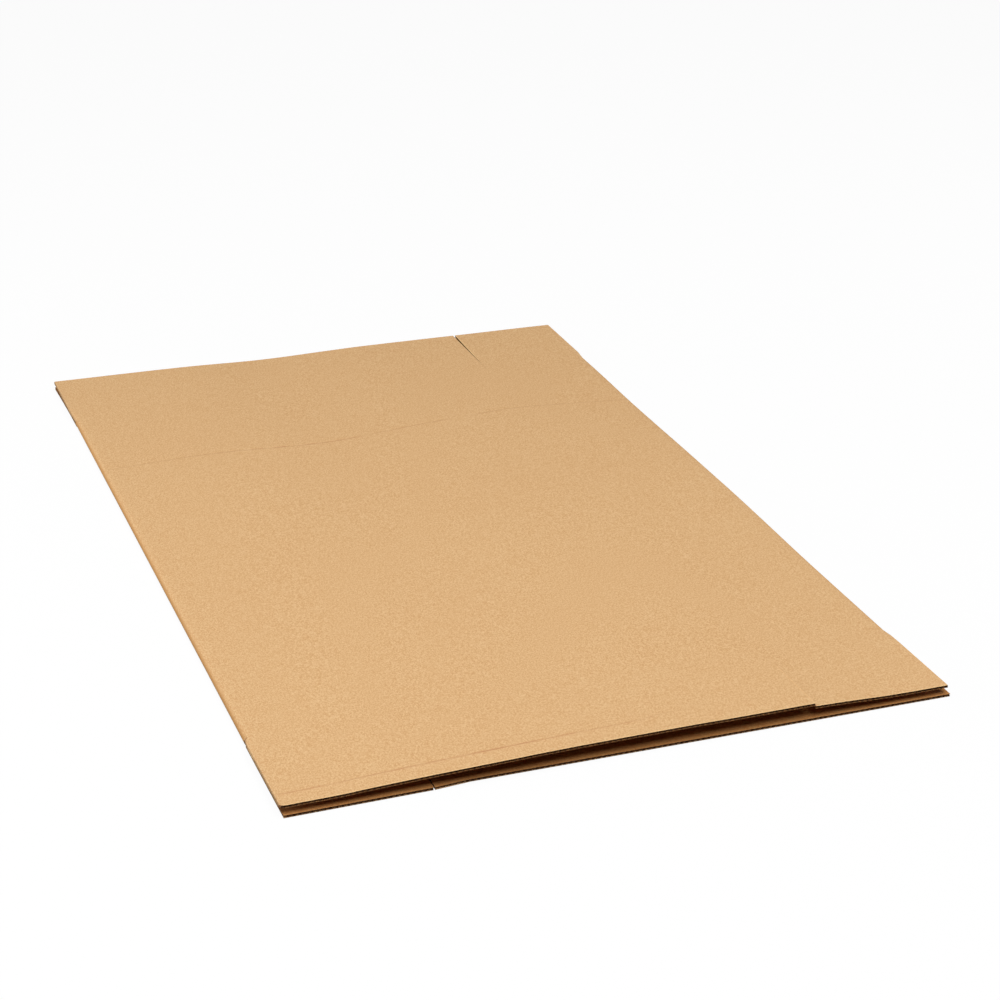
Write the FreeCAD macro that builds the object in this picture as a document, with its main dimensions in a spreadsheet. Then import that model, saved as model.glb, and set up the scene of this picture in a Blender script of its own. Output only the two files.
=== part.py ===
"""A slotted carton of corrugated board, folded flat and lying on its long side.

The carton is one sheet: two long panels and two short panels in a row, closed
to a tube by a glued lap, with a flap on both ends of each panel. Folded flat,
the tube is two layers. The upper layer is a long panel with a short panel on
its right. The lower layer is a short panel with a long panel on its right. The
two folds run along the left and right sides, and the flaps lie in the plane of
their panels at the front and rear.

The origin is at the middle of the footprint, on the surface that the carton
lies on. X runs across the flutes, Y from the front flaps to the rear flaps, and
Z up. All sizes are in millimetres.
"""
import FreeCAD, Part
import os
import Sketcher

SIZES = {
    # panels and flaps
    "long_panel": 754.0,
    "short_panel": 202.0,
    "body_depth": 1120.0,
    "flap_depth": 180.0,
    "board_thickness": 4.0,
    "crease_skew": 7.5,
    "layer_shift": 4.0,
    # side folds
    "fold_height": 15.0,
    "fold_inset": 3.0,
    # slits between the upper flaps
    "front_slit_width": 1.0,
    "rear_slit_width": 4.0,
    "slit_root_width": 0.8,
    # creases between panels and flaps
    "crease_width": 5.0,
    "crease_depth": 0.9,
    # glued lap of the lower layer
    "lap_width": 35.0,
    "lap_end_clearance": 8.0,
    "lap_taper": 12.0,
    "joint_gap": 2.0,
    "joint_shift": 2.0,
    # front edges of the two layers
    "upper_setback": 1.5,
    "joint_setback": 6.0,
    # height of the upper layer's top at its front edge
    "front_corner_height": 17.5,
    "front_quarter_height": 23.5,
    "front_middle_height": 27.3,
    "front_three_quarter_height": 27.6,
    "front_slit_height": 26.8,
    "short_flap_slit_height": 22.4,
    "short_flap_corner_height": 17.4,
    # height of the upper layer's top over the front flap creases
    "body_quarter_height": 17.2,
    "body_middle_height": 20.0,
    "body_three_quarter_height": 20.8,
    "body_crease_height": 20.5,
    # height of the upper layer's top at its rear edge
    "rear_quarter_height": 14.6,
    "rear_middle_height": 12.0,
    "rear_three_quarter_height": 16.0,
    "rear_crease_height": 16.4,
}

HALF_WIDTH = "(sizes.long_panel + sizes.short_panel) / 2"
HALF_BODY = "sizes.body_depth / 2"
HALF_DEPTH = f"({HALF_BODY} + sizes.flap_depth)"
UPPER_FRONT = f"(sizes.upper_setback - {HALF_DEPTH})"
UPPER_RIGHT = f"({HALF_WIDTH} - sizes.layer_shift)"
FOLD_LINE = f"({HALF_WIDTH} - sizes.fold_inset - sizes.fold_height / 2)"
LOWER_JOINT = f"(sizes.short_panel + sizes.joint_shift - {HALF_WIDTH})"
REAR_CREASE = HALF_BODY
FRONT_CREASE = f"(-{HALF_BODY})"
FRONT_CREASE_HEIGHTS = ["sizes.body_quarter_height", "sizes.body_middle_height",
                        "sizes.body_three_quarter_height", "sizes.body_crease_height"]
REAR_EDGE_HEIGHTS = ["sizes.rear_quarter_height", "sizes.rear_middle_height",
                     "sizes.rear_three_quarter_height", "sizes.rear_crease_height"]

doc = FreeCAD.newDocument("folded_carton")
sheet = doc.addObject("Spreadsheet::Sheet", "sizes")
for row, (alias, size) in enumerate(SIZES.items(), start=1):
    sheet.set(f"A{row}", alias)
    sheet.set(f"B{row}", str(size))
    sheet.setAlias(f"B{row}", alias)
doc.recompute()


def new_sketch(body, name, role, offset):
    """Sketch on one of its body's own origin planes, moved along that plane's normal."""
    sketch = body.newObject("Sketcher::SketchObject", name)
    plane = next(feature for feature in body.Origin.OriginFeatures if feature.Role == role)
    sketch.AttachmentSupport = [(plane, "")]
    sketch.MapMode = "FlatFace"
    sketch.setExpression(".AttachmentOffset.Base.z", offset)
    return sketch


def bind(sketch, label, constraint, formula):
    """Named constraint whose value follows a formula on the sheet."""
    sketch.renameConstraint(sketch.addConstraint(constraint), label)
    sketch.setExpression(f".Constraints.{label}", formula)


def outline(body, name, role, offset, corners):
    """Closed outline of straight edges, with both coordinates of each corner bound to a formula."""
    sketch = new_sketch(body, name, role, offset)
    values = [[float(sheet.evalExpression(formula)) for formula in corner] for corner in corners]
    places = [FreeCAD.Vector(across, along, 0) for across, along in values]
    following = places[1:] + places[:1]
    for start, end in zip(places, following):
        sketch.addGeometry(Part.LineSegment(start, end))
    for edge in range(len(places)):
        sketch.addConstraint(Sketcher.Constraint("Coincident", edge, 2, (edge + 1) % len(places), 1))
    for edge, (place, corner) in enumerate(zip(places, corners)):
        bind(sketch, f"across_{edge}", Sketcher.Constraint("DistanceX", -1, 1, edge, 1, place.x), corner[0])
        bind(sketch, f"along_{edge}", Sketcher.Constraint("DistanceY", -1, 1, edge, 1, place.y), corner[1])
    return sketch


def plan_body(name, corners, base, height):
    """Upright body on an outline in plan."""
    body = doc.addObject("PartDesign::Body", name)
    pad = body.newObject("PartDesign::Pad", name + "_pad")
    pad.Profile = outline(body, name + "_plan", "XY_Plane", base, corners)
    pad.setExpression("Length", height)
    return body


def lofted_body(name, role, stations):
    """Body with straight sides through parallel sections, each at its offset along the plane's normal."""
    body = doc.addObject("PartDesign::Body", name)
    sections = [outline(body, f"{name}_section_{place}", role, offset, corners)
                for place, (offset, corners) in enumerate(stations, start=1)]
    loft = body.newObject("PartDesign::AdditiveLoft", name + "_loft")
    loft.Profile = sections[0]
    loft.Sections = sections[1:]
    loft.Ruled = True
    return body


def board_through(name, places_at, stations):
    """Board of even thickness whose top goes through its places and heights, from front to rear."""
    sections = []
    for along, heights in stations:
        tops = list(zip(places_at(along), heights))
        underside = [(across, f"{up} - sizes.board_thickness") for across, up in reversed(tops)]
        sections.append((f"-{along}", underside + tops))
    return lofted_body(name, "XZ_Plane", sections)


def upper_crease(along):
    """Place of the crease between the upper panels, which runs a little askew to the sides."""
    return f"({HALF_WIDTH} - sizes.short_panel + sizes.crease_skew * {along} / {HALF_DEPTH})"


def long_panel_places(along):
    """Places across the upper long panel, from its left side to the panel crease."""
    quarters = [f"(-{HALF_WIDTH} + {count} * sizes.long_panel / 4)" for count in (1, 2, 3)]
    return [f"-{HALF_WIDTH}", f"(-{FOLD_LINE})", *quarters, upper_crease(along)]


def short_panel_places(along):
    """Places across the upper short panel, from the panel crease to its right side."""
    return [upper_crease(along), FOLD_LINE, UPPER_RIGHT]


def upper_long_panel():
    """Long panel of the upper layer, whose front flap stands up from its crease."""
    lift = "(sizes.front_quarter_height - sizes.front_corner_height)"
    inset = f"({HALF_WIDTH} - {FOLD_LINE}) / (sizes.long_panel / 4)"
    fold = "sizes.fold_height"
    stations = (
        (UPPER_FRONT, ["sizes.front_corner_height", f"(sizes.front_corner_height + {lift} * {inset})",
                       "sizes.front_quarter_height", "sizes.front_middle_height",
                       "sizes.front_three_quarter_height", "sizes.front_slit_height"]),
        (FRONT_CREASE, [fold, fold, *FRONT_CREASE_HEIGHTS]),
        (HALF_DEPTH, [fold, fold, *REAR_EDGE_HEIGHTS]),
    )
    return board_through("upper_long_panel", long_panel_places, stations)


def upper_short_panel():
    """Short panel of the upper layer, whose front flap lies lower than the long one beside it."""
    drop = "(sizes.short_flap_slit_height - sizes.short_flap_corner_height)"
    inset = f"({UPPER_RIGHT} - {FOLD_LINE}) / ({UPPER_RIGHT} - {upper_crease(UPPER_FRONT)})"
    fold = "sizes.fold_height"
    stations = (
        (UPPER_FRONT, ["sizes.short_flap_slit_height", f"(sizes.short_flap_corner_height + {drop} * {inset})",
                       "sizes.short_flap_corner_height"]),
        (FRONT_CREASE, [FRONT_CREASE_HEIGHTS[-1], fold, fold]),
        (HALF_DEPTH, [REAR_EDGE_HEIGHTS[-1], fold, fold]),
    )
    return board_through("upper_short_panel", short_panel_places, stations)


def lower_short_panel():
    """Short panel of the lower layer, flat on the ground and a little right of the upper layer's side."""
    left, right = f"(sizes.layer_shift - {HALF_WIDTH})", f"{LOWER_JOINT} - sizes.joint_gap"
    corners = [(left, f"-{HALF_DEPTH}"), (right, UPPER_FRONT), (right, HALF_DEPTH), (left, HALF_DEPTH)]
    return plan_body("lower_short_panel", corners, "0", "sizes.board_thickness")


def lower_long_panel():
    """Long panel of the lower layer, glued askew, so that its front edge slopes back to the joint."""
    corners = [(LOWER_JOINT, f"sizes.joint_setback - {HALF_DEPTH}"), (HALF_WIDTH, f"-{HALF_DEPTH}"),
               (HALF_WIDTH, HALF_DEPTH), (LOWER_JOINT, HALF_DEPTH)]
    return plan_body("lower_long_panel", corners, "0", "sizes.board_thickness")


def glued_lap():
    """Lap on the lower long panel, glued inside the short one; its ends taper clear of the flaps."""
    root = f"{LOWER_JOINT} + sizes.board_thickness"
    edge = f"{LOWER_JOINT} - sizes.lap_width"
    end = f"({HALF_BODY} - sizes.lap_end_clearance)"
    corners = [(root, f"-{end}"), (root, end), (edge, f"{end} - sizes.lap_taper"),
               (edge, f"sizes.lap_taper - {end}")]
    return plan_body("glued_lap", corners, "sizes.board_thickness", "sizes.board_thickness")


def side_fold(name, side):
    """Half-round fold that joins the two layers along one side, as long as the panels."""
    body = doc.addObject("PartDesign::Body", name)
    sketch = new_sketch(body, name + "_section", "XZ_Plane", HALF_BODY)
    radius = sheet.fold_height / 2
    centre = FreeCAD.Vector(side * float(sheet.evalExpression(FOLD_LINE)), radius, 0)
    quarter_turn = FreeCAD.Units.parseQuantity("90 deg").getValueAs("rad").Value
    start = -quarter_turn if side > 0 else quarter_turn
    for reach in (radius, radius - sheet.board_thickness):
        circle = Part.Circle(centre, FreeCAD.Vector(0, 0, 1), reach)
        sketch.addGeometry(Part.ArcOfCircle(circle, start, start + 2 * quarter_turn))
    for end in (1, 2):
        sketch.addGeometry(Part.LineSegment(sketch.getPoint(0, end), sketch.getPoint(1, end)))
        sketch.addConstraint(Sketcher.Constraint("Coincident", 0, end, end + 1, 1))
        sketch.addConstraint(Sketcher.Constraint("Coincident", 1, end, end + 1, 2))
        sketch.addConstraint(Sketcher.Constraint("Vertical", end + 1))
    sketch.addConstraint(Sketcher.Constraint("Coincident", 0, 3, 1, 3))
    outer, inner = "sizes.fold_height / 2", "sizes.fold_height / 2 - sizes.board_thickness"
    bind(sketch, "centre_across", Sketcher.Constraint("DistanceX", -1, 1, 0, 3, centre.x),
         f"{side} * {FOLD_LINE}")
    bind(sketch, "centre_up", Sketcher.Constraint("DistanceY", -1, 1, 0, 3, radius), outer)
    bind(sketch, "outer_radius", Sketcher.Constraint("Radius", 0, radius), outer)
    bind(sketch, "inner_radius", Sketcher.Constraint("Radius", 1, radius - sheet.board_thickness), inner)
    sketch.addConstraint(Sketcher.Constraint("Vertical", 0, 1, 0, 3))
    pad = body.newObject("PartDesign::Pad", name + "_pad")
    pad.Profile = sketch
    pad.Reversed = True
    pad.setExpression("Length", "sizes.body_depth")
    return body


def fold_room(name, side):
    """Strip taken off both layers beside a panel, where the side fold stands in for them."""
    inner, outer = f"{side} * {FOLD_LINE}", f"{side} * ({HALF_WIDTH} + sizes.fold_inset)"
    corners = [(inner, f"-{HALF_BODY}"), (outer, f"-{HALF_BODY}"), (outer, HALF_BODY), (inner, HALF_BODY)]
    return plan_body(name, corners, "-sizes.board_thickness", "4 * sizes.fold_height")


def slit(name, end, width):
    """Cut between the two upper flaps at one end, narrowing from their edge to the flap crease."""
    edge = f"({end} * ({HALF_DEPTH} + sizes.upper_setback))"
    root = f"({end} * {HALF_BODY})"
    corners = [(f"{upper_crease(edge)} - {width} / 2", edge), (f"{upper_crease(edge)} + {width} / 2", edge),
               (f"{upper_crease(root)} + sizes.slit_root_width / 2", root),
               (f"{upper_crease(root)} - sizes.slit_root_width / 2", root)]
    return plan_body(name, corners, "sizes.fold_height / 2", "2 * sizes.fold_height")


def rear_flap_crease(front, rear):
    """Height over the rear flap creases, between that of the front flap creases and the rear edge."""
    return f"({front} + ({rear} - {front}) * sizes.body_depth / (sizes.body_depth + sizes.flap_depth))"


def groove(name, role, stations, into):
    """Room for a crease pressed up (1) or down (-1) into a board, through places on the board's face."""
    sections = []
    for offset, middle, face in stations:
        left, right = f"{middle} - sizes.crease_width / 2", f"{middle} + sizes.crease_width / 2"
        clear = f"{face} - {into} * sizes.crease_depth"
        bottom = f"{face} + {into} * sizes.crease_depth"
        corners = [(left, clear), (right, clear), (right, face), (middle, bottom), (left, face)]
        sections.append((offset, corners))
    return lofted_body(name, role, sections)


def panel_crease():
    """Crease between the long and short panels of the upper layer, on the inside of the carton."""
    front = "sizes.body_crease_height"
    rear = rear_flap_crease(front, "sizes.rear_crease_height")
    stations = [(f"-{FRONT_CREASE}", upper_crease(FRONT_CREASE), f"({front} - sizes.board_thickness)"),
                (f"-{REAR_CREASE}", upper_crease(REAR_CREASE), f"({rear} - sizes.board_thickness)")]
    return groove("panel_crease", "XZ_Plane", stations, 1)


def upper_flap_crease(name, along, rises):
    """Crease between the upper panels and their flaps at one end, on the inside of the carton."""
    places = long_panel_places(along) + short_panel_places(along)[1:]
    heights = ["sizes.fold_height"] * 2 + rises + ["sizes.fold_height"] * 2
    stations = [(across, along, f"({up} - sizes.board_thickness)") for across, up in zip(places, heights)]
    return groove(name, "YZ_Plane", stations, 1)


def lower_flap_crease(name, along):
    """Crease between the lower panels and their flaps at one end, on the inside of the carton."""
    stations = [(across, along, "sizes.board_thickness") for across in (f"-{HALF_WIDTH}", HALF_WIDTH)]
    return groove(name, "YZ_Plane", stations, -1)


def combined(kind, name, **inputs):
    """Boolean of other objects."""
    feature = doc.addObject(kind, name)
    for key, value in inputs.items():
        setattr(feature, key, value)
    return feature


boards = combined("Part::MultiFuse", "boards", Shapes=[
    upper_long_panel(), upper_short_panel(), lower_short_panel(), lower_long_panel()])
cuts = combined("Part::MultiFuse", "cuts", Shapes=[
    fold_room("left_fold_room", -1), fold_room("right_fold_room", 1),
    slit("front_slit", -1, "sizes.front_slit_width"), slit("rear_slit", 1, "sizes.rear_slit_width"),
    panel_crease(),
    upper_flap_crease("upper_front_crease", FRONT_CREASE, FRONT_CREASE_HEIGHTS),
    upper_flap_crease("upper_rear_crease", REAR_CREASE,
                      [rear_flap_crease(*pair) for pair in zip(FRONT_CREASE_HEIGHTS, REAR_EDGE_HEIGHTS)]),
    lower_flap_crease("lower_front_crease", FRONT_CREASE),
    lower_flap_crease("lower_rear_crease", REAR_CREASE)])
panels = combined("Part::Cut", "panels", Base=boards, Tool=cuts)
carton = combined("Part::MultiFuse", "carton", Shapes=[
    panels, side_fold("left_fold", -1), side_fold("right_fold", 1), glued_lap()])
carton.Label = "folded_carton"
doc.recompute()

for feature in doc.Objects:
    if "Invalid" in feature.State or "Error" in feature.State:
        raise RuntimeError(f"{feature.Name} was not built")
if carton.Shape.isNull() or not carton.Shape.isValid() or len(carton.Shape.Solids) != 1:
    raise RuntimeError(f"{carton.Label} is not one sound solid")

os.makedirs("parts", exist_ok=True)
carton.Shape.exportStep(f"parts/{carton.Label}.step")
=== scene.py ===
"""Looks of a slotted carton of corrugated board, folded flat and lying on its long side.

The board is made as the real one is: an outer liner, an inner liner and the fluted
medium between them. Each liner is one skin that covers the upper panels and their
flaps, turns round both side folds and comes back under as the lower panels. All
places are in metres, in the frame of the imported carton.
"""
import bisect
import math

import bmesh
import bpy
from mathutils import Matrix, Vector, noise


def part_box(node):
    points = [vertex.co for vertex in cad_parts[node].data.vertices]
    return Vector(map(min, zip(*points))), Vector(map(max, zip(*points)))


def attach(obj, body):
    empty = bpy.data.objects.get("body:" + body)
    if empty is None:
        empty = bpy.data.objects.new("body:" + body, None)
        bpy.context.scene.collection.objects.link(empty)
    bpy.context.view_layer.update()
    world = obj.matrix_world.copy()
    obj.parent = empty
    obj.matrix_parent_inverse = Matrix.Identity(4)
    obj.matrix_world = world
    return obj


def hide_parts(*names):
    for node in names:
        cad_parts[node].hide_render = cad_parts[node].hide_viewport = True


bl_info = {
    "name": "Flat Carton",
    "version": (1, 0, 0),
    "blender": (4, 5, 0),
    "location": "View3D > Sidebar > Carton",
    "description": "Builds a slotted carton of corrugated board, folded flat",
    "category": "Object",
}

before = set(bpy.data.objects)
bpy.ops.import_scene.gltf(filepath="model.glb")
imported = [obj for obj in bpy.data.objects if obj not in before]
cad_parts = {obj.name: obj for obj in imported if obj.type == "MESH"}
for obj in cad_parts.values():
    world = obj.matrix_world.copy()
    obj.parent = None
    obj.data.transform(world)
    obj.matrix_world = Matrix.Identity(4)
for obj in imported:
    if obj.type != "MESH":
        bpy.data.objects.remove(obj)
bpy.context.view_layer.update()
CARTON_LOW, CARTON_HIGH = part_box("folded_carton")

MM = 0.001
TINY = 0.00001
BODY = "root"
CAD_NODE = "folded_carton"

# distances in metres of the liners' close columns and rows from a side, the front and a lower edge
SIDE_STEPS = (0.0, 0.0006, 0.0025, 0.005, 0.008)
FRONT_STEPS = (0.0, 0.0025, 0.005, 0.008)
LOWER_EDGE_STEP = 0.003
# distances in metres of the medium's close rows from its front and its rear edge
MEDIUM_FRONT_STEPS, MEDIUM_REAR_STEPS = (0.0, 0.003, 0.009), (0.0, 0.006)
# distances in millimetres of the close rows from a dent's own row
DENT_STEPS = (-10, -6.5, -4.8, -3, -1.5, 0, 1.5, 3, 10)
# widest distances between rows or columns of points: liners above, liners below, medium, folds and lap
LINER_ROW_STEP, LINER_COLUMN_STEP = 0.025, 0.012
LOWER_ROW_STEP, LOWER_COLUMN_STEP = 0.06, 0.05
MEDIUM_ROW_STEP, FOLD_ROW_STEP, LAP_COLUMN_STEP = 0.07, 0.1, 0.01
# numbers of steps round one flute and round a side fold
FLUTE_STEPS, FOLD_STEPS = 8, 12

# knots of the upper layer's heights: place across and height of the outer face, in millimetres
LONG_FRONT_EDGE = [(-478, 17.5), (-391, 18.6), (-371, 19.7), (-286, 22.5), (-191, 24.7), (-96, 26.7),
                   (-1, 27.3), (94, 27.5), (149, 27.0), (276, 26.8)]
SHORT_FRONT_EDGE = [(264, 22.4), (309, 21.3), (353, 19.5), (384, 18.3), (445, 17.7), (474, 17.8)]
FRONT_CREASE = [(-478, 15), (-467.5, 15), (-289, 17.2), (-101, 20), (88, 20.8), (271, 20.5), (467.5, 15),
                (478, 15)]
REAR_EDGE = [(-478, 15), (-467.5, 15), (-241, 14.9), (-96, 12.1), (39, 15.0), (88, 16.1), (283, 16.4),
             (467.5, 15), (478, 15)]

# rise of the upper layer along its right side: place along and rise, in millimetres
RIGHT_RISE = [(-560, 0.8), (-350, 0.5), (-266, 1.4), (-175, 3.0), (-80, 4.1), (19, 3.6), (124, 2.8),
              (234, 1.1), (349, 0.1), (468, 1.5), (560, 1.4), (740, 1.6)]

# dents across the top: place across and place along of the line, in millimetres
FAR_DENT_LINE = [(-478, 332), (-286, 343), (-96, 333), (84, 352), (170, 362), (274, 370), (455, 352),
                 (478, 350)]
NEAR_DENT_LINE = [(-478, -711), (-286, -707), (-1, -702), (94, -693), (478, -690)]
# strength of each dent across the top: place across in millimetres and thousandths of its full depth
FAR_DENT_STRENGTH = [(-478, 300), (-300, 600), (-240, 1000), (-60, 1000), (-30, 700), (-10, 100), (10, 600),
                     (120, 600), (143, 100), (175, 100), (200, 600), (400, 500), (478, 300)]
NEAR_DENT_STRENGTH = [(-478, 200), (-450, 900), (-300, 900), (-280, 400), (-260, 1000), (-95, 900), (60, 300),
                      (140, 0), (478, 0)]
# ridge beside a dent: its offset in half dent widths, and its height as a share of the dent's depth
RIDGE_OFFSET, RIDGE_SHARE = 1.6, 0.35
# share of a dent's width that gets the painted shade, and how near a row follows its line in full
SHADE_WIDTH_SHARE, DENT_CORE = 0.3, 0.010

# length over which a slit's marks fade in, and share of the fold's radius in which a flap bends down
SLIT_FADE, DROOP_SHARE = 0.04, 0.9
# strength of the painted highlight along the rear slit, the front slit and the front left side
REAR_SLIT_HIGHLIGHT, FRONT_SLIT_HIGHLIGHT, LEFT_SIDE_HIGHLIGHT = 0.9, 0.35, 0.9
# unevenness of the flutes across, share of their height that is crushed, and width of the calm sides
FLUTE_JITTER, FLUTE_CRUSH, CALM_WIDTH = 0.0005, 0.06, 0.02

# tints of uneven paper, of the darker, more orange rims, of the painted highlight along edges and of the
# painted shade in the dents and beside the front slit, as factors on its linear red, green and blue
DARK_FIBRES, PALE_FIBRES = (0.89, 0.79, 0.71), (1.09, 1.18, 1.27)
RIM_TINT, EDGE_HIGHLIGHT_TINT, PAINTED_SHADE_TINT = (0.96, 0.80, 0.58), (1.42, 1.46, 1.42), (0.74, 0.55, 0.50)
# colour of the floor and the surroundings
WHITE = (1.0, 1.0, 1.0, 1.0)


def smooth_curve(knots):
    """Function of the smooth curve through knots in millimetres; it takes and gives metres."""
    places = [place * MM for place, value in knots]
    values = [value * MM for place, value in knots]
    last = len(knots) - 1
    slopes = []
    for knot in range(last + 1):
        before, after = max(knot - 1, 0), min(knot + 1, last)
        slopes.append((values[after] - values[before]) / (places[after] - places[before]))

    def value_at(place):
        place = min(max(place, places[0]), places[last])
        start = min(bisect.bisect_right(places, place), last) - 1
        width = places[start + 1] - places[start]
        share = (place - places[start]) / width
        ease = share * share * (3 - 2 * share)
        bend = share * (1 - share) * width
        return (values[start] * (1 - ease) + values[start + 1] * ease
                + bend * ((1 - share) * slopes[start] - share * slopes[start + 1]))
    return value_at


def smooth_step(share):
    """Smooth change from 0 to 1 as the share goes from 0 to 1."""
    share = min(max(share, 0.0), 1.0)
    return share * share * (3 - 2 * share)


def filled(anchors, step):
    """The anchors in order, with evenly spaced places wherever two are more than a step apart."""
    anchors = sorted(anchors)
    places = [anchors[0]]
    for start, end in zip(anchors, anchors[1:]):
        count = math.ceil((end - start) / step - TINY)
        places += [start + (end - start) * number / count for number in range(1, count + 1)]
    return places


def from_screen(red, green, blue):
    """Linear colour of 8-bit screen values."""
    def linear(value):
        share = value / 255
        return share / 12.92 if share <= 0.04045 else ((share + 0.055) / 1.055) ** 2.4
    return linear(red), linear(green), linear(blue)


def length(name, description, default):
    """Property of a length in metres."""
    return bpy.props.FloatProperty(name=name, description=description, default=default, unit="LENGTH")


class CartonSizes(bpy.types.PropertyGroup):
    """Sizes of the carton and its board."""
    short_panel: length("Short panel", "Width of a short panel", 0.202)
    layer_shift: length("Layer shift", "How far the layers lie apart across", 0.004)
    flap_depth: length("Flap depth", "Depth of a flap from its crease", 0.18)
    board_thickness: length("Board", "Thickness of the board", 0.004)
    liner_thickness: length("Liner", "Thickness of a liner", 0.0004)
    medium_thickness: length("Medium", "Thickness of the fluted medium", 0.00026)
    flute_pitch: length("Flute pitch", "Distance from one flute to the next", 0.00792)
    fold_height: length("Fold height", "Height of the side folds", 0.015)
    fold_inset: length("Fold inset", "How far the folds lie inside the flaps' sides", 0.003)
    crease_skew: length("Crease skew", "Shift of the upper panel crease at the front", 0.0075)
    rear_skew: length("Rear skew", "Shift of the upper panel crease at the rear", 0.0051)
    rear_reach: length("Rear reach", "How much further the lower rear left corner reaches out", 0.003)
    front_draw: length("Front draw", "How much further in the lower front left corner lies", 0.0005)
    fold_bulge: length("Fold bulge", "How far the left fold bulges out of a half round", 0.0008)
    flap_widening: length("Flap widening", "Length over which a flap widens from its crease", 0.03)
    slit_root: length("Slit root", "Width of a slit at the flap crease", 0.0002)
    closed_slit: length("Closed slit", "Length over which a slit is closed, from the flap crease", 0.036)
    front_slit: length("Front slit", "Width of the front slit at the edge", 0.001)
    rear_slit: length("Rear slit", "Width of the rear slit at the edge", 0.004)
    crease_width: length("Crease width", "Width of a pressed crease", 0.005)
    crease_depth: length("Crease depth", "Depth of a pressed crease", 0.0009)
    upper_setback: length("Upper setback", "How far the upper front edge lies back", 0.0015)
    joint_setback: length("Joint setback", "How far the lower front edge lies back at the joint", 0.006)
    joint_shift: length("Joint shift", "Shift of the glued joint", 0.002)
    joint_gap: length("Joint gap", "Gap between the lower panels at the joint", 0.002)
    lap_width: length("Lap width", "Width of the glued lap", 0.035)
    lap_end_clearance: length("Lap clearance", "Distance from the lap's ends to the flap creases", 0.008)
    lap_taper: length("Lap taper", "Slant of the lap's ends", 0.012)
    dent_depth: length("Dent depth", "Depth of the dents across the top", 0.0004)
    dent_width: length("Dent width", "Width of the dents across the top", 0.006)
    rim_width: length("Rim width", "Width of the rubbed rims", 0.0025)
    corner_wear: length("Corner wear", "Radius of the worn front left corner", 0.007)


class CartonColours(bpy.types.PropertyGroup):
    """Colours of the carton's papers."""
    outer: bpy.props.FloatVectorProperty(
        name="Outer liner", description="Colour of the outer kraft liner",
        default=from_screen(223, 180, 129), subtype="COLOR")
    inner: bpy.props.FloatVectorProperty(
        name="Inner liner", description="Colour of the inner kraft liner",
        default=from_screen(196, 138, 80), subtype="COLOR")
    cut: bpy.props.FloatVectorProperty(
        name="Cut liner", description="Colour of a liner's cut edge", default=from_screen(160, 112, 74),
        subtype="COLOR")
    medium: bpy.props.FloatVectorProperty(
        name="Medium", description="Colour of the fluted medium", default=from_screen(118, 80, 50),
        subtype="COLOR")


class StageSettings(bpy.types.PropertyGroup):
    """Camera, lamps and floor."""
    camera_place: bpy.props.FloatVectorProperty(
        name="Camera place", description="Place of the camera", default=(-1.10365, -3.0631, 1.5555),
        subtype="TRANSLATION", unit="LENGTH")
    camera_turn: bpy.props.FloatVectorProperty(
        name="Camera turn", description="Turn of the camera",
        default=[math.radians(angle) for angle in (65.063, -1.257, -20.768)],
        subtype="EULER", unit="ROTATION")
    camera_lens: bpy.props.FloatProperty(
        name="Lens", description="Focal length of the camera", default=81.91, unit="CAMERA")
    sky_strength: bpy.props.FloatProperty(
        name="Sky", description="Strength of the even light from all round", default=0.006)
    lamp_power: bpy.props.FloatProperty(
        name="Lamp power", description="Power of the wide lamp above", default=446, unit="POWER")
    lamp_place: bpy.props.FloatVectorProperty(
        name="Lamp place", description="Place of the wide lamp above", default=(-0.4, -2.2, 5.6),
        subtype="TRANSLATION", unit="LENGTH")
    lamp_size: length("Lamp size", "Side length of the wide lamp above", 6.8)
    left_power: bpy.props.FloatProperty(
        name="Left power", description="Power of the lamp on the left", default=32, unit="POWER")
    right_power: bpy.props.FloatProperty(
        name="Right power", description="Power of the lamp on the right", default=5, unit="POWER")
    side_place: bpy.props.FloatVectorProperty(
        name="Side place", description="Place of the right lamp, which the left one mirrors",
        default=(3.0, 0.5, 0.8), subtype="TRANSLATION", unit="LENGTH")
    side_size: length("Side size", "Side length of the side lamps", 1.5)
    floor_size: length("Floor size", "Side length of the floor", 40.0)
    floor_bounce: bpy.props.FloatProperty(
        name="Floor bounce", description="How much light the floor sends back onto the carton",
        default=0.14, subtype="FACTOR")
    floor_white: bpy.props.FloatProperty(
        name="Floor white", description="Share of the seen floor that is plain white, free of shadow",
        default=0.94, subtype="FACTOR")


class Dent:
    """A long shallow dent across the upper layer; the rows within reach of its row follow its line."""

    def __init__(self, line, strength, row, reach):
        self.line = smooth_curve(line)
        self.strength = smooth_curve(strength)
        self.row = row
        self.reach = reach


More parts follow.
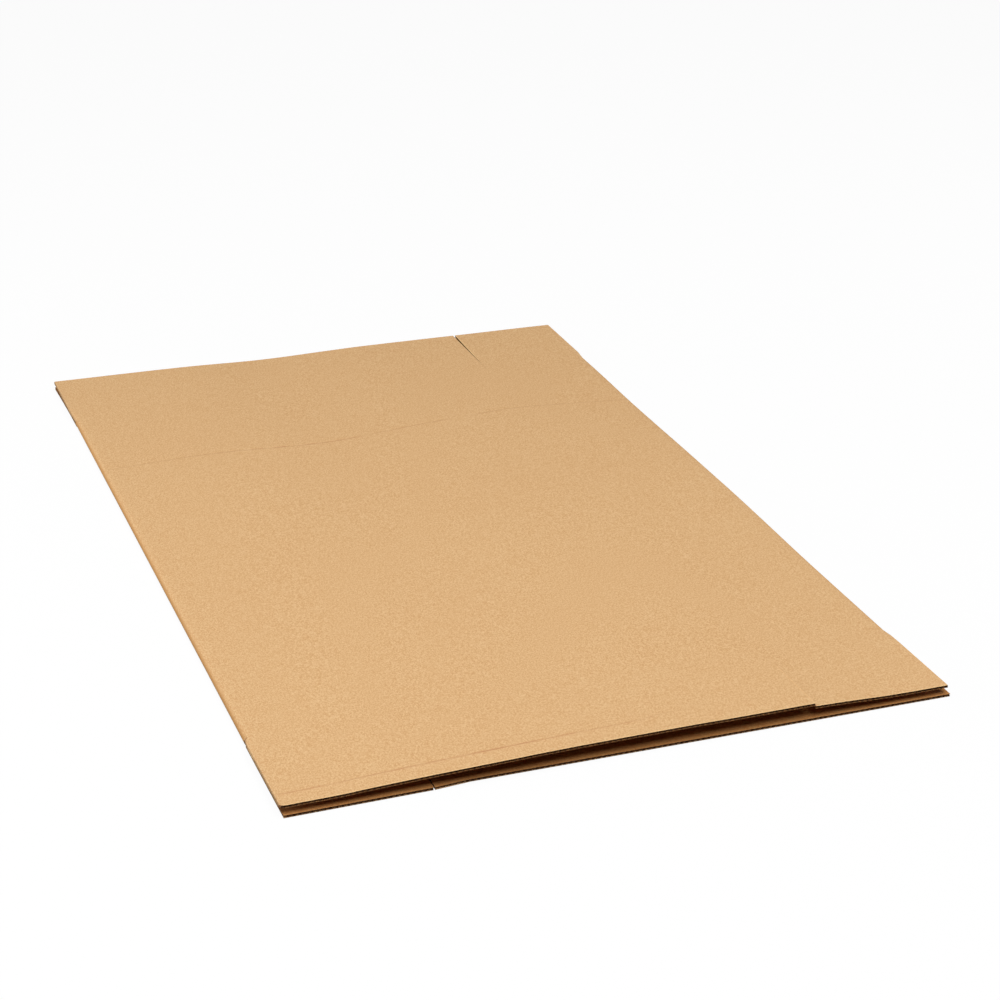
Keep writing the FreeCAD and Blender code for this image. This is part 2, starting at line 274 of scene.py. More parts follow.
class Layout:
    """Places of the carton's edges, creases and folds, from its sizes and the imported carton's box."""

    def __init__(self, sizes):
        self.sizes = sizes
        self.side = CARTON_HIGH.x
        self.upper_right = self.side - sizes.layer_shift
        self.lower_left = sizes.layer_shift - self.side
        self.half_depth = CARTON_HIGH.y
        self.half_body = self.half_depth - sizes.flap_depth
        self.upper_front = CARTON_LOW.y + sizes.upper_setback
        self.fold_line = self.side - sizes.fold_inset - sizes.fold_height / 2
        self.panel_crease = self.side - sizes.short_panel
        self.joint = sizes.short_panel + sizes.joint_shift - self.side
        self.long_front = smooth_curve(LONG_FRONT_EDGE)
        self.short_front = smooth_curve(SHORT_FRONT_EDGE)
        self.front_crease = smooth_curve(FRONT_CREASE)
        self.rear_edge = smooth_curve(REAR_EDGE)
        self.right_rise = smooth_curve(RIGHT_RISE)
        self.dents = [Dent(FAR_DENT_LINE, FAR_DENT_STRENGTH, row=0.350, reach=0.060),
                      Dent(NEAR_DENT_LINE, NEAR_DENT_STRENGTH, row=-0.702, reach=0.025)]

    def crease_at(self, y):
        """Place across of the upper panel crease, which runs a little askew."""
        skew = self.sizes.crease_skew if y < 0 else self.sizes.rear_skew
        return self.panel_crease + skew * y / self.half_depth

    def slit_width(self, y):
        """Width of the slit or crease between the upper panels."""
        sizes = self.sizes
        if y < 0:
            edge = sizes.front_slit
            share = (-self.half_body - y) / (-self.half_body - self.upper_front)
        else:
            edge = sizes.rear_slit
            share = (y - self.half_body) / sizes.flap_depth
        closed = sizes.closed_slit / sizes.flap_depth
        return sizes.slit_root + (edge - sizes.slit_root) * max((share - closed) / (1 - closed), 0.0)

    def upper_across(self, x, y):
        """Place across of a point of the upper layer, once the slits and the crease have their true run."""
        if abs(x) >= self.fold_line:
            return x
        side = -1 if x < self.panel_crease else 1
        start = side * self.fold_line
        old_end = self.panel_crease + side * self.sizes.slit_root / 2
        new_end = self.crease_at(y) + side * self.slit_width(y) / 2
        return start + (x - start) * (new_end - start) / (old_end - start)

    def upper_along(self, x, y):
        """Place along of a point of the upper layer, once the rows beside a dent follow its line."""
        for dent in self.dents:
            near = 1 - smooth_step((abs(y - dent.row) - DENT_CORE) / dent.reach)
            y += (dent.line(x) - dent.row) * near
        return y

    def dent_depth(self, x, y):
        """Depth of the dents at a point of the upper layer, with a slight ridge on their near side."""
        depth = 0.0
        half_width = self.sizes.dent_width / 2
        for dent in self.dents:
            offset = (y - dent.line(x)) / half_width
            groove = max(1 - offset ** 2, 0.0) ** 2
            ridge = max(1 - (offset + RIDGE_OFFSET) ** 2, 0.0) ** 2
            depth += (groove - RIDGE_SHARE * ridge) * dent.strength(x)
        return depth * self.sizes.dent_depth

    def rub(self, x, y):
        """How much painted shade a point of the upper layer has: 1 in a full dent, 0 beside it; beside the
        front slit it also gets a painted contact shadow.
        """
        # sum of the painted shade of the dents and of the front slit
        worn = 0.0
        for dent in self.dents:
            offset = (y - dent.line(x)) / (SHADE_WIDTH_SHARE * self.sizes.dent_width)
            unbroken = 0.75 + 0.9 * noise.noise(Vector((x * 60, dent.row, 5.0)))
            worn += max(1 - offset ** 2, 0.0) * dent.strength(x) * min(max(unbroken, 0.0), 1.0)
        # painted contact shadow along the short flap's edge of the front slit
        if y < 0:
            worn += self.beside_slit(x, y, 1)
        return worn

    def beside_slit(self, x, y, side):
        """How near a point is to the left or right edge of a slit: 1 on it, 0 inside the flap."""
        offset = (x - self.crease_at(y)) * side
        if offset < 0:
            return 0.0
        near = max(1 - (offset - self.slit_width(y) / 2) / (self.sizes.crease_width / 2), 0.0)
        return near * smooth_step((abs(y) - self.half_body - self.sizes.closed_slit) / SLIT_FADE)

    def upper_top(self, x, y, on_long_panel):
        """Height of the upper layer's outer face, dents apart."""
        over_crease = self.front_crease(x)
        if y < -self.half_body:
            edge = self.long_front(x) if on_long_panel else self.short_front(x)
            share = (-self.half_body - y) / (-self.half_body - self.upper_front)
            rise = self.right_rise(-self.half_body) * (1 - share)
        else:
            edge = self.rear_edge(x)
            share = (y + self.half_body) / (self.half_depth + self.half_body)
            rise = self.right_rise(y)
        lean = smooth_step((x - self.panel_crease) / (self.fold_line - self.panel_crease))
        return over_crease + (edge - over_crease) * share + rise * lean

    def rim(self, x, y):
        """How near a point of the upper layer is to a fold, its right or its rear side: 1 on it, 0 inside."""
        sideways = min(x + self.side, self.upper_right - x)
        if abs(y) < self.half_body:
            sideways -= self.sizes.fold_inset
        elif x < 0:
            sideways = self.sizes.rim_width
        return max(1 - min(sideways, self.half_depth - y) / self.sizes.rim_width, 0.0)

    def lip(self, x, y):
        """How much painted highlight a point of the upper layer has near one of its edges: 1 on it, 0 inside.
        """
        if y > 0:
            highlight = REAR_SLIT_HIGHLIGHT * self.beside_slit(x, y, 1)
        elif x < TINY - self.side and y < -self.half_body:
            highlight = LEFT_SIDE_HIGHLIGHT
        else:
            highlight = FRONT_SLIT_HIGHLIGHT * self.beside_slit(x, y, -1)
        return max(1 - (y - self.upper_front) / self.sizes.rim_width, highlight, 0.0)

    def flap_side(self, x, y):
        """Place across of a point of a flap, whose sides widen from the fold's reach at the crease."""
        beyond = abs(x) - self.fold_line
        if beyond <= 0:
            return x
        at_crease = self.sizes.fold_height / 2 / (self.side - self.fold_line)
        share = smooth_step((abs(y) - self.half_body) / self.sizes.flap_widening)
        return math.copysign(self.fold_line + beyond * (at_crease + (1 - at_crease) * share), x)

    def droop(self, x, y):
        """How far a point beside a flap's crease bends down, as the side fold does."""
        radius = self.sizes.fold_height / 2
        beyond = min(max(abs(x) - self.fold_line, 0.0), DROOP_SHARE * radius)
        bend = radius - math.sqrt(radius * radius - beyond * beyond)
        return bend * (1 - smooth_step((abs(y) - self.half_body) / self.sizes.flap_widening))

    def press(self, x, y, panel_crease=None):
        """Depth of the pressed creases on the board's inner face."""
        half_width = self.sizes.crease_width / 2
        distance = abs(abs(y) - self.half_body)
        if panel_crease is not None and abs(y) < self.half_body:
            distance = min(distance, abs(x - panel_crease))
        return self.sizes.crease_depth * max(1 - distance / half_width, 0.0)

    def upper_faces(self, x, y, on_long_panel):
        """Heights of the upper layer's outer and inner faces."""
        top = self.upper_top(x, y, on_long_panel)
        inner = top - self.sizes.board_thickness + self.press(x, y, self.crease_at(y))
        return top - self.dent_depth(x, y), inner

    def lower_faces(self, x, y):
        """Heights of the lower layer's outer and inner faces."""
        return 0.0, self.sizes.board_thickness - self.press(x, y)

    def lower_along(self, x, y):
        """Place along of a point of the lower layer, whose front edge steps back at the joint."""
        if y > -self.half_body:
            return y
        if x < self.joint:
            share = (x - self.lower_left) / (self.joint - self.sizes.joint_gap - self.lower_left)
            edge = -self.half_depth + self.sizes.upper_setback * share
        else:
            share = (x - self.joint) / (self.side - self.joint)
            edge = -self.half_depth + self.sizes.joint_setback * (1 - share)
        return -self.half_body + (y + self.half_body) * (edge + self.half_body) / -self.sizes.flap_depth

    def lower_across(self, x, y):
        """Place across of a point of the lower layer, which lies a little askew at its left corners."""
        share = max(abs(y) - self.half_body, 0.0) / self.sizes.flap_depth
        reach = self.sizes.rear_reach if y > 0 else -self.sizes.front_draw
        return x - reach * share * share * max(-x, 0.0) / self.side

    def worn_corner(self, x, y):
        """Plan place of a point of the upper layer, pulled in where the front left corner is worn round."""
        radius = self.sizes.corner_wear
        centre = Vector((-self.side + radius, self.upper_front + radius))
        offset = Vector((x, y)) - centre
        if offset.x < 0 and offset.y < 0 and offset.length > radius:
            offset *= radius / offset.length
        return centre.x + offset.x, centre.y + offset.y


def pick(piece, wanted, kind="verts"):
    """Selects, in edit mode, the points or faces of a piece whose place is wanted."""
    bpy.ops.mesh.select_mode(type="VERT" if kind == "verts" else "FACE")
    bpy.ops.mesh.select_all(action="DESELECT")
    mesh = bmesh.from_edit_mesh(piece.data)
    for element in getattr(mesh, kind):
        place = element.co if kind == "verts" else element.calc_center_median()
        if wanted(place):
            element.select_set(True)
    mesh.select_flush_mode()
    bmesh.update_edit_mesh(piece.data)


def extrude(steps):
    """Extrudes the selected edges by each step in turn."""
    for step in steps:
        bpy.ops.mesh.extrude_region_move(TRANSFORM_OT_translate={"value": step})


def new_sheet(name, across, along):
    """Flat sheet with an edge at each place across and along, extruded from its first face."""
    bpy.ops.object.select_all(action="DESELECT")
    bpy.ops.mesh.primitive_plane_add(size=1, location=(0, 0, 0))
    piece = bpy.context.object
    piece.name = piece.data.name = name
    width, depth = across[1] - across[0], along[1] - along[0]
    bpy.ops.object.mode_set(mode="EDIT")
    bpy.ops.mesh.select_all(action="SELECT")
    bpy.ops.transform.resize(value=(width, depth, 1))
    bpy.ops.transform.translate(value=(across[0] + width / 2, along[0] + depth / 2, 0))
    pick(piece, lambda place: place.x > across[0] + width / 2)
    extrude((end - start, 0, 0) for start, end in zip(across[1:], across[2:]))
    pick(piece, lambda place: place.y > along[0] + depth / 2)
    extrude((0, end - start, 0) for start, end in zip(along[1:], along[2:]))
    bpy.ops.object.mode_set(mode="OBJECT")
    return piece


def cut_faces(piece, unwanted):
    """Deletes the faces of a piece whose middle is at an unwanted place."""
    bpy.ops.object.mode_set(mode="EDIT")
    pick(piece, unwanted, "faces")
    bpy.ops.mesh.delete(type="FACE")
    bpy.ops.object.mode_set(mode="OBJECT")


def shape(piece, placed):
    """Moves each point of a piece to the place that the given function gives for it."""
    for vertex in piece.data.vertices:
        vertex.co = placed(vertex.co)
    piece.data.update()


def apply_modifier(piece, kind, **settings):
    """Adds a modifier with its settings to a piece and applies it."""
    bpy.context.view_layer.objects.active = piece
    modifier = piece.modifiers.new(kind.title(), kind)
    for name, value in settings.items():
        setattr(modifier, name, value)
    bpy.ops.object.modifier_apply(modifier=modifier.name)


def face_all(piece, inside):
    """Turns all faces of a liner to point out of the carton, or into it."""
    bpy.ops.object.mode_set(mode="EDIT")
    bpy.ops.mesh.select_all(action="SELECT")
    bpy.ops.mesh.remove_doubles(threshold=TINY)
    bpy.ops.mesh.normals_make_consistent(inside=False)
    mesh = bmesh.from_edit_mesh(piece.data)
    highest = max(mesh.faces, key=lambda face: face.calc_center_median().z)
    if (highest.normal.z < 0) != inside:
        bpy.ops.mesh.flip_normals()
    bpy.ops.object.mode_set(mode="OBJECT")


def joined(name, pieces):
    """One piece made of several."""
    bpy.ops.object.select_all(action="DESELECT")
    for piece in pieces:
        piece.select_set(True)
    bpy.context.view_layer.objects.active = pieces[0]
    bpy.ops.object.join()
    pieces[0].name = pieces[0].data.name = name
    return pieces[0]


def finish_piece(piece, *materials, crease_angle=35):
    """Gives a piece its materials and shading, and hands it to the frame."""
    bpy.ops.object.select_all(action="DESELECT")
    piece.select_set(True)
    bpy.context.view_layer.objects.active = piece
    bpy.ops.object.shade_smooth_by_angle(angle=math.radians(crease_angle))
    if not piece.data.materials:
        for material in materials:
            piece.data.materials.append(material)
    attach(piece, BODY)
    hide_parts(CAD_NODE)


class Wire:
    """An output socket, whose arithmetic adds Math nodes to its tree."""

    def __init__(self, graph, socket):
        self.graph = graph
        self.socket = socket

    def math(self, operation, first, second=0.0):
        """Result of a Math node."""
        return self.graph.node("ShaderNodeMath", {"operation": operation}, {0: first, 1: second})

    def __add__(self, other):
        return self.math("ADD", self, other)

    def __radd__(self, other):
        return self.math("ADD", other, self)

    def __sub__(self, other):
        return self.math("SUBTRACT", self, other)

    def __rsub__(self, other):
        return self.math("SUBTRACT", other, self)

    def __mul__(self, other):
        return self.math("MULTIPLY", self, other)

    def __rmul__(self, other):
        return self.math("MULTIPLY", other, self)


class Graph:
    """Nodes of a material or world, made by one method."""

    def __init__(self, tree):
        self.tree = tree
        tree.nodes.clear()

    def node(self, kind, settings=None, inputs=None, output=0):
        """Adds a node with its settings, then the values or links of its sockets, and gives one output."""
        node = self.tree.nodes.new(kind)
        for name, value in (settings or {}).items():
            if name == "stops":
                for stop, (position, colour) in zip(self.stops(node, len(value)), value):
                    stop.position = position
                    stop.color = (*colour, 1.0)
            else:
                setattr(node, name, value)
        for key, value in (inputs or {}).items():
            if isinstance(value, Wire):
                self.tree.links.new(value.socket, node.inputs[key])
            else:
                node.inputs[key].default_value = value
        return Wire(self, node.outputs[output]) if node.outputs else node

    @staticmethod
    def stops(node, count):
        """The stops of a colour ramp, as many as asked for."""
        ramp = node.color_ramp
        while len(ramp.elements) < count:
            ramp.elements.new(1.0)
        return ramp.elements

    def noise(self, place, scale, detail=2.0, roughness=0.5):
        """Noise over a place, from 0 to 1."""
        return self.node("ShaderNodeTexNoise", {"noise_dimensions": "3D"},
                         {"Vector": place, "Scale": scale, "Detail": detail, "Roughness": roughness})

    def stretched(self, place, scale):
        """Place scaled by a different amount along each axis."""
        return self.node("ShaderNodeMapping", {"vector_type": "POINT"}, {"Vector": place, "Scale": scale})

    def mark(self, name):
        """Value of a mesh attribute."""
        return self.node("ShaderNodeAttribute", {"attribute_type": "GEOMETRY", "attribute_name": name},
                         output="Fac")

    def mix(self, share, first, second):
        """Colour between two colours."""
        return self.node("ShaderNodeMix", {"data_type": "RGBA"}, {0: share, 6: first, 7: second}, output=2)


def tinted(colour, factors):
    """Colour with each channel scaled."""
    return tuple(min(value * factor, 1.0) for value, factor in zip(colour[:3], factors)) + (1.0,)


def paper(name, colour, grain=1.0, roughness=0.82, ribs=0.0, rubbed=False):
    """Kraft paper: fibre grain along the panels' width, soft mottling and a faint relief of the flutes; with
    its marks on, also darker, more orange rims, a painted highlight along edges and painted shade in the
    dents and beside the front slit.
    """
    material = bpy.data.materials.new(name)
    material.use_nodes = True
    graph = Graph(material.node_tree)
    place = graph.node("ShaderNodeTexCoord", output="Object")
    fibres = graph.noise(graph.stretched(place, (400, 290, 400)), 1.0, 2.0, 0.7)
    specks = graph.noise(graph.stretched(place, (760, 500, 700)), 1.0, 1.0, 0.5)
    mottle = graph.noise(graph.stretched(place, (40, 60, 60)), 1.0, 3.0, 0.6)
    cloud = graph.noise(place, 3.2, 2.0, 0.5)
    tone = 0.5 + grain * (2.6 * (fibres - 0.5) + 2.8 * (specks - 0.5) + 0.2 * (mottle - 0.5)
                          + 0.12 * (cloud - 0.5))
    base = graph.node("ShaderNodeValToRGB", {"stops": [
        (0.0, tinted(colour, DARK_FIBRES)[:3]),
        (0.5, tuple(colour[:3])),
        (1.0, tinted(colour, PALE_FIBRES)[:3])]}, {"Fac": tone})
    if rubbed:
        base = graph.mix(graph.mark("rim") * (0.5 + 0.6 * fibres), base, tinted(colour, RIM_TINT))
        # painted highlight along the front edge, the slits and the front left side
        base = graph.mix(graph.mark("lip") * (0.6 + 0.6 * fibres), base, tinted(colour, EDGE_HIGHLIGHT_TINT))
        # painted shade in the dents and a painted contact shadow beside the front slit
        base = graph.mix(graph.mark("rubbed") * (0.5 + 0.8 * fibres), base, tinted(colour, PAINTED_SHADE_TINT))
    relief = graph.node("ShaderNodeBump", {}, {"Strength": 0.25, "Distance": 0.0002, "Height": fibres})
    if ribs:
        across = graph.node("ShaderNodeSeparateXYZ", {}, {"Vector": place}, output="X")
        wave = across.math("SINE", across * (2 * math.pi / bpy.context.scene.carton_sizes.flute_pitch))
        relief = graph.node("ShaderNodeBump", {}, {
            "Strength": 1.0, "Distance": ribs, "Height": wave * 0.5, "Normal": relief})
    surface = graph.node("ShaderNodeBsdfPrincipled", {}, {
        "Base Color": base, "Roughness": roughness, "Specular IOR Level": 0.25, "Normal": relief})
    graph.node("ShaderNodeOutputMaterial", {}, {"Surface": surface})
    return material


def liner_rows(layout):
    """Places along the upper layer at which the liners have a row of points."""
    crease = layout.sizes.crease_width / 2
    anchors = [layout.upper_front + step for step in FRONT_STEPS]
    anchors += [layout.half_depth - layout.sizes.rim_width, layout.half_depth]
    for dent in layout.dents:
        anchors += [dent.row + step * MM for step in DENT_STEPS]
    for end in (-layout.half_body, layout.half_body):
        anchors += [end - crease, end, end + crease]
    return filled(anchors, LINER_ROW_STEP)


def liner_columns(layout):
    """Places across the upper layer at which the liners have a column of points."""
    root, crease = layout.sizes.slit_root / 2, layout.sizes.crease_width / 2
    anchors = [step - layout.side for step in SIDE_STEPS]
    anchors += [layout.upper_right - step for step in SIDE_STEPS[:3]]
    anchors += [-layout.fold_line, layout.fold_line]
    anchors += [layout.panel_crease + offset for offset in (-crease, -root, root, crease)]
    return filled(anchors, LINER_COLUMN_STEP)


def in_notch(layout, place):
    """Whether a place in plan is beside a panel, outside its side fold."""
    return abs(place.y) < layout.half_body and abs(place.x) > layout.fold_line


def in_slit(layout, place):
    """Whether a place in plan, before the crease is set askew, is in a slit."""
    in_line = abs(place.x - layout.panel_crease) < layout.sizes.slit_root / 2
    return abs(place.y) > layout.half_body and in_line


def fold_under(piece, layout, side):
    """Turns a liner round a side fold and runs it back as a lower panel, as far as the joint."""
    line = side * layout.fold_line
    bpy.ops.object.mode_set(mode="EDIT")
    pick(piece, lambda place: abs(place.x - line) < TINY and abs(place.y) < layout.half_body + TINY)
    bpy.ops.mesh.spin(steps=FOLD_STEPS, angle=-side * math.pi, axis=(0, 1, 0),
                      center=(line, 0, layout.sizes.fold_height / 2))
    end = layout.joint if side > 0 else layout.joint - layout.sizes.joint_gap
    columns = filled([line, end], LOWER_COLUMN_STEP)
    if side > 0:
        columns.reverse()
    extrude((after - before, 0, 0) for before, after in zip(columns, columns[1:]))
    bpy.ops.object.mode_set(mode="OBJECT")


def lower_flaps(piece, layout, bottom):
    """Runs a liner on into the lower flaps, past the ends of the side folds."""
    crease = layout.sizes.crease_width / 2
    rows = filled([layout.half_body, layout.half_body + crease,
                   layout.half_depth - LOWER_EDGE_STEP, layout.half_depth], LOWER_ROW_STEP)
    bpy.ops.object.mode_set(mode="EDIT")
    for end in (-1, 1):
        def on_crease(place):
            return abs(place.y - end * layout.half_body) < TINY and place.z < bottom + TINY
        pick(piece, on_crease)
        extrude((0, end * (after - before), 0) for before, after in zip(rows, rows[1:]))
        for line, side in ((-layout.fold_line, layout.lower_left), (layout.fold_line, layout.side)):
            def on_side(place):
                beside = abs(place.x - line) < TINY
                return beside and end * place.y > layout.half_body - TINY and place.z < bottom + TINY
            pick(piece, on_side)
            extrude([(side - line, 0, 0)])
    bpy.ops.object.mode_set(mode="OBJECT")


def make_liner(layout, name, face):
    """One liner as a single skin; face 0 is the outer one and face 1 the inner one."""
    sizes = layout.sizes
    top = sizes.fold_height - sizes.board_thickness * face
    bottom = sizes.board_thickness * face
    liner = new_sheet(name, liner_columns(layout), liner_rows(layout))
    cut_faces(liner, lambda place: in_notch(layout, place) or in_slit(layout, place))
    shape(liner, lambda place: Vector((place.x, place.y, top)))
    for side in (-1, 1):
        fold_under(liner, layout, side)
    lower_flaps(liner, layout, bottom)

    def placed(place):
        if place.z > top - TINY:
            on_long = place.x < layout.panel_crease
            y = layout.upper_along(place.x, place.y)
            x = layout.upper_across(place.x, y)
            height = layout.upper_faces(x, y, on_long)[face]
            x = layout.flap_side(x, y)
            height -= layout.droop(x, y)
            if face == 0 and not -layout.side + TINY < place.x < layout.upper_right - TINY:
                height -= sizes.board_thickness - 2 * sizes.liner_thickness
            x, y = layout.worn_corner(x, y)
            return Vector((x, y, height))
        if place.z < bottom + TINY:
            y = layout.lower_along(place.x, place.y)
            return Vector((layout.lower_across(place.x, y), y, layout.lower_faces(place.x, y)[face]))
        if place.x > 0:
            return place + Vector((0, 0, layout.right_rise(place.y) * (place.z - bottom) / (top - bottom)))
        bulge = (place.x + layout.fold_line) * 2 * sizes.fold_bulge / sizes.fold_height
        return place + Vector((bulge, 0, 0))
    shape(liner, placed)
    face_all(liner, inside=face == 1)
    return liner


def make_fluting(layout, name, spans, rows, placed):
    """Wavy medium over spans across: one flute, repeated with an Array modifier, then put in its place."""
    sizes = layout.sizes
    waves = []
    for start, end in spans:
        count = round((end - start) / sizes.flute_pitch)
        pitch = (end - start) / count
        flute = new_sheet(name, [start + pitch * step / FLUTE_STEPS for step in range(FLUTE_STEPS + 1)], rows)

        def waved(place):
            return Vector((place.x, place.y, math.sin(2 * math.pi * (place.x - start) / pitch)))
        shape(flute, waved)
        apply_modifier(flute, "ARRAY", count=count, use_relative_offset=False, use_constant_offset=True,
                       constant_offset_displace=(pitch, 0, 0), use_merge_vertices=True, merge_threshold=TINY)
        waves.append(flute)
    medium = joined(name, waves)
    shape(medium, placed)
    apply_modifier(medium, "SOLIDIFY", thickness=sizes.medium_thickness, offset=0.0)
    return medium


def between_liners(layout, faces_at, plan_at):
    """Function that puts a point of a wave between a layer's two liners."""
    sizes = layout.sizes
    margin = sizes.medium_thickness / 2

    def placed(place):
        x, y = plan_at(place.x, place.y)
        outer, inner = faces_at(x, y, place.x)
        room = abs(outer - inner) / 2 - sizes.liner_thickness - margin
        calm = smooth_step((layout.side - abs(x)) / CALM_WIDTH)
        x += calm * FLUTE_JITTER * noise.noise(Vector((place.x * 140, place.y * 9, 3.0)))
        height = 1 - FLUTE_CRUSH * abs(noise.noise(Vector((place.x * 90, place.y * 30, 7.0))))
        x = min(max(x, -layout.side + margin), layout.side - margin)
        return Vector((x, y, (outer + inner) / 2 + room * place.z * height))
    return placed


def edge_rows(layout, front, rear):
    """Places along a layer at which its medium has a row of points."""
    crease = layout.sizes.crease_width / 2
    anchors = [front + step for step in MEDIUM_FRONT_STEPS]
    anchors += [rear - step for step in MEDIUM_REAR_STEPS]
    for end in (-layout.half_body, layout.half_body):
        anchors += [end - crease, end, end + crease]
    return filled(anchors, MEDIUM_ROW_STEP)


class CARTON_OT_liners(bpy.types.Operator):
    """Makes the outer and the inner liner of the board."""
    bl_idname = "carton.liners"
    bl_label = "Liners"

    def execute(self, context):
        sizes, colours = context.scene.carton_sizes, context.scene.carton_colours
        layout = Layout(sizes)
        cut = paper("cut_liner", colours.cut, grain=1.3)
        outer_paper = paper("outer_liner", colours.outer, ribs=0.00002, rubbed=True)
        inner_paper = paper("inner_liner", colours.inner, grain=1.2, ribs=0.00003)
        for name, face, material in (("outer_liner", 0, outer_paper), ("inner_liner", 1, inner_paper)):
            liner = make_liner(layout, name, face)
            if face == 0:
                # marks of the painted shade, of the darker rims and of the painted highlight
                for mark, value_at in (("rubbed", layout.rub), ("rim", layout.rim), ("lip", layout.lip)):
                    values = liner.data.attributes.new(mark, "FLOAT", "POINT").data
                    for vertex, value in zip(liner.data.vertices, values):
                        if vertex.co.z > sizes.fold_height / 2:
                            value.value = value_at(vertex.co.x, vertex.co.y)
            liner.data.materials.append(material)
            liner.data.materials.append(cut)
            apply_modifier(liner, "SOLIDIFY", thickness=sizes.liner_thickness, offset=-1.0,
                           material_offset_rim=1)
            finish_piece(liner)
        return {"FINISHED"}


class CARTON_OT_fluting(bpy.types.Operator):
    """Makes the fluted medium of both layers and of the side folds."""
    bl_idname = "carton.fluting"
    bl_label = "Fluting"

    def execute(self, context):
        sizes = context.scene.carton_sizes
        layout = Layout(sizes)
        medium = paper("fluted_medium", context.scene.carton_colours.medium, grain=1.4, roughness=0.9)

        def upper_plan(x, y):
            y = layout.upper_along(x, y)
            return layout.flap_side(layout.upper_across(x, y), y), y

        half_root = sizes.slit_root / 2
        spans = [(-layout.side, layout.panel_crease - half_root),
                 (layout.panel_crease + half_root, layout.upper_right)]
        rows = edge_rows(layout, layout.upper_front, layout.half_depth)
        for dent in layout.dents:
            rows += [dent.row - sizes.dent_width / 2, dent.row, dent.row + sizes.dent_width / 2]

        def upper_faces(x, y, start):
            drop = layout.droop(x, y)
            return [height - drop for height in layout.upper_faces(x, y, start < layout.panel_crease)]
        upper = make_fluting(layout, "upper_fluting", spans, filled(rows, MEDIUM_ROW_STEP),
                             between_liners(layout, upper_faces, upper_plan))
        cut_faces(upper, lambda place: in_notch(layout, place))
        finish_piece(upper, medium)

        spans = [(layout.lower_left, layout.joint - sizes.joint_gap), (layout.joint, layout.side)]
        rows = edge_rows(layout, -layout.half_depth, layout.half_depth)

        def lower_faces(x, y, start):
            return layout.lower_faces(x, y)

        def lower_plan(x, y):
            return layout.lower_across(x, y), layout.lower_along(x, y)
        lower = make_fluting(layout, "lower_fluting", spans, rows,
                             between_liners(layout, lower_faces, lower_plan))
        cut_faces(lower, lambda place: in_notch(layout, place))
        finish_piece(lower, medium)

        middle = (sizes.fold_height - sizes.board_thickness) / 2
        length = math.pi * middle
        room = sizes.board_thickness / 2 - sizes.liner_thickness - sizes.medium_thickness
        rows = filled([-layout.half_body, layout.half_body], FOLD_ROW_STEP)
        for name, side in (("left_fold_fluting", -1), ("right_fold_fluting", 1)):
            def round_fold(place):
                turn = place.x / middle
                radius = middle + room * place.z
                height = sizes.fold_height / 2 + radius * math.cos(turn)
                rise = layout.right_rise(place.y) if side > 0 else 0.0
                height += rise * (1 + math.cos(turn)) / 2
                return Vector((side * (layout.fold_line + radius * math.sin(turn)), place.y, height))
            fold = make_fluting(layout, name, [(0, length)], rows, round_fold)
            finish_piece(fold, medium)
        return {"FINISHED"}


class CARTON_OT_lap(bpy.types.Operator):
    """Makes the glued lap between the two lower panels."""
    bl_idname = "carton.lap"
    bl_label = "Glued lap"

    def execute(self, context):
        sizes, colours = context.scene.carton_sizes, context.scene.carton_colours
        layout = Layout(sizes)
        root, edge = layout.joint + sizes.board_thickness, layout.joint - sizes.lap_width
        end = layout.half_body - sizes.lap_end_clearance

        def tapered(x, y):
            slant = sizes.lap_taper * (root - x) / (root - edge)
            return x, y * (1 - slant / end)

        inner_paper = paper("lap_liner", colours.inner, grain=1.2, ribs=0.00003)
        rows = filled([-end, end], FOLD_ROW_STEP)
        skins = []
        for level in (1, 2):
            skin = new_sheet("lap_liners", filled([edge, root], LAP_COLUMN_STEP), rows)

            def on_level(place):
                x, y = tapered(place.x, place.y)
                lift = sizes.liner_thickness if level == 1 else 0.0
                return Vector((x, y, level * sizes.board_thickness + lift))
            shape(skin, on_level)
            apply_modifier(skin, "SOLIDIFY", thickness=sizes.liner_thickness, offset=-1.0)
            skins.append(skin)
        finish_piece(joined("lap_liners", skins), inner_paper)

        def lap_faces(x, y, start):
            return 2 * sizes.board_thickness, sizes.board_thickness
        medium = paper("lap_medium", colours.medium, grain=1.4, roughness=0.9)
        fluting = make_fluting(layout, "lap_fluting", [(edge, root)], rows,
                               between_liners(layout, lap_faces, tapered))
        finish_piece(fluting, medium)
        return {"FINISHED"}


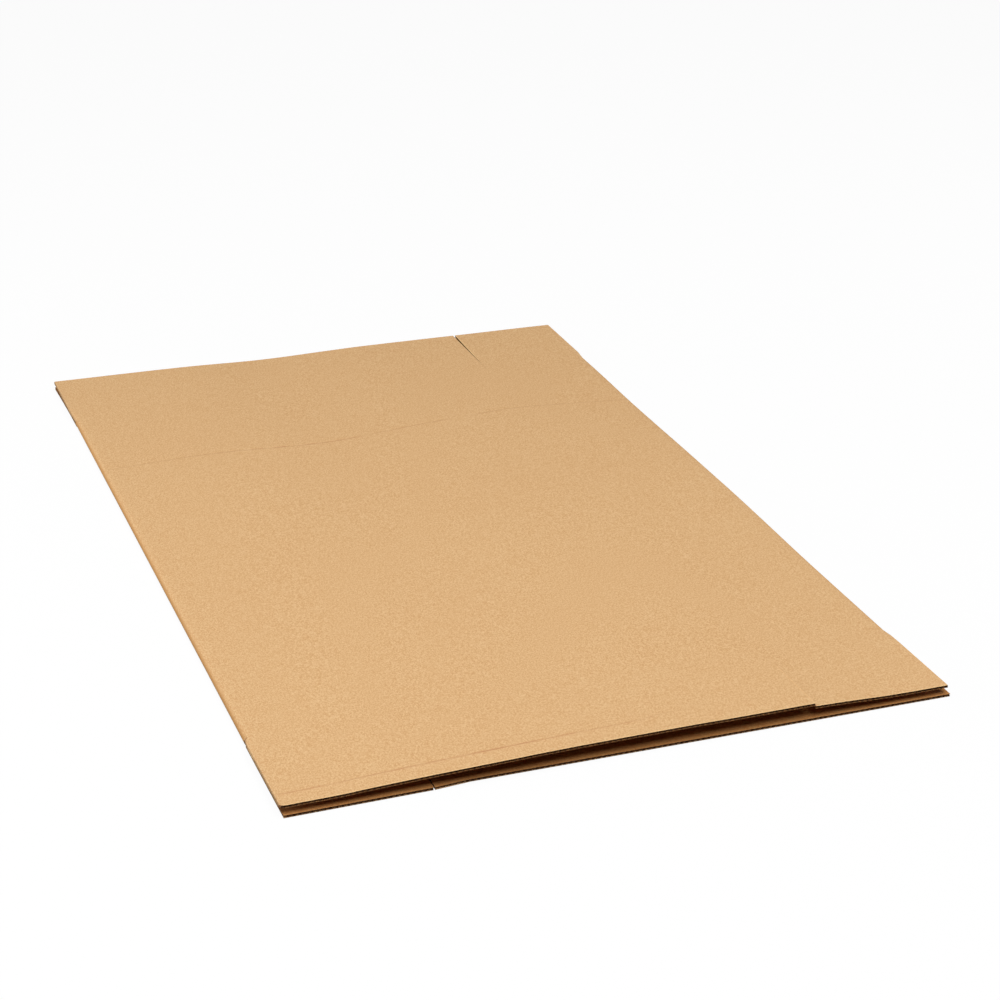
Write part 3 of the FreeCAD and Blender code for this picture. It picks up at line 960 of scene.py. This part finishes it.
class CARTON_OT_stage(bpy.types.Operator):
    """Sets the camera, the lamps, the floor and the white surroundings."""
    bl_idname = "carton.stage"
    bl_label = "Stage"

    def execute(self, context):
        settings = context.scene.carton_stage
        bpy.ops.object.select_all(action="DESELECT")
        bpy.ops.object.camera_add(location=settings.camera_place, rotation=settings.camera_turn)
        camera = context.object
        camera.data.lens = settings.camera_lens
        camera.data.clip_start, camera.data.clip_end = 0.05, 60
        context.scene.camera = camera

        bpy.ops.object.light_add(type="AREA", location=settings.lamp_place)
        lamp = context.object
        lamp.name = "wide_lamp"
        lamp.data.energy = settings.lamp_power
        lamp.data.size = settings.lamp_size
        distance, along, height = settings.side_place
        sides = (("left_lamp", -1, settings.left_power), ("right_lamp", 1, settings.right_power))
        for name, side, power in sides:
            place = (side * distance, along, height)
            turn = (math.radians(90), 0, side * math.radians(90))
            bpy.ops.object.light_add(type="AREA", location=place, rotation=turn)
            context.object.name = name
            context.object.data.energy = power
            context.object.data.size = settings.side_size

        world = bpy.data.worlds.new("white_surroundings")
        world.use_nodes = True
        graph = Graph(world.node_tree)
        seen = self.seen_directly(graph)
        sky = graph.node("ShaderNodeBackground", {}, {"Color": WHITE, "Strength": settings.sky_strength})
        white = graph.node("ShaderNodeBackground", {}, {"Color": WHITE, "Strength": 1.0})
        graph.node("ShaderNodeOutputWorld", {}, {
            "Surface": graph.node("ShaderNodeMixShader", {}, {0: seen, 1: sky, 2: white})})
        context.scene.world = world

        bpy.ops.mesh.primitive_plane_add(size=settings.floor_size, location=(0, 0, 0))
        floor = context.object
        floor.name = "floor"
        material = bpy.data.materials.new("white_floor")
        material.use_nodes = True
        graph = Graph(material.node_tree)
        seen = self.seen_directly(graph)
        colour = graph.mix(seen, (settings.floor_bounce,) * 3 + (1.0,), WHITE)
        lit = graph.node("ShaderNodeBsdfDiffuse", {}, {"Color": colour})
        white = graph.node("ShaderNodeEmission", {}, {"Color": WHITE, "Strength": 1.0})
        share = settings.floor_white * seen
        graph.node("ShaderNodeOutputMaterial", {}, {
            "Surface": graph.node("ShaderNodeMixShader", {}, {0: share, 1: lit, 2: white})})
        floor.data.materials.append(material)

        context.scene.view_settings.view_transform = "Standard"
        return {"FINISHED"}

    @staticmethod
    def seen_directly(graph):
        """One for rays that show the surroundings to the camera, straight or by a gloss or through glass."""
        straight, gloss, glass = (graph.node("ShaderNodeLightPath", output=name) for name in (
            "Is Camera Ray", "Is Glossy Ray", "Is Transmission Ray"))
        both = straight.math("MAXIMUM", straight, gloss)
        return both.math("MAXIMUM", both, glass)


class CARTON_PT_panel(bpy.types.Panel):
    """Lists the operators that build the carton and its stage."""
    bl_label = "Carton"
    bl_space_type = "VIEW_3D"
    bl_region_type = "UI"
    bl_category = "Carton"

    def draw(self, context):
        for operator in OPERATORS:
            self.layout.operator(operator.bl_idname)


OPERATORS = (CARTON_OT_liners, CARTON_OT_fluting, CARTON_OT_lap, CARTON_OT_stage)
CLASSES = (CartonSizes, CartonColours, StageSettings, *OPERATORS, CARTON_PT_panel)


def register():
    """Registers the classes and the settings of the scene."""
    for item in CLASSES:
        bpy.utils.register_class(item)
    bpy.types.Scene.carton_sizes = bpy.props.PointerProperty(type=CartonSizes)
    bpy.types.Scene.carton_colours = bpy.props.PointerProperty(type=CartonColours)
    bpy.types.Scene.carton_stage = bpy.props.PointerProperty(type=StageSettings)


def unregister():
    """Removes the settings and the classes again."""
    del bpy.types.Scene.carton_stage
    del bpy.types.Scene.carton_colours
    del bpy.types.Scene.carton_sizes
    for item in reversed(CLASSES):
        bpy.utils.unregister_class(item)


def main():
    """Builds the carton and its stage."""
    register()
    bpy.ops.carton.liners()
    bpy.ops.carton.fluting()
    bpy.ops.carton.lap()
    bpy.ops.carton.stage()


if __name__ == "__main__":
    main()
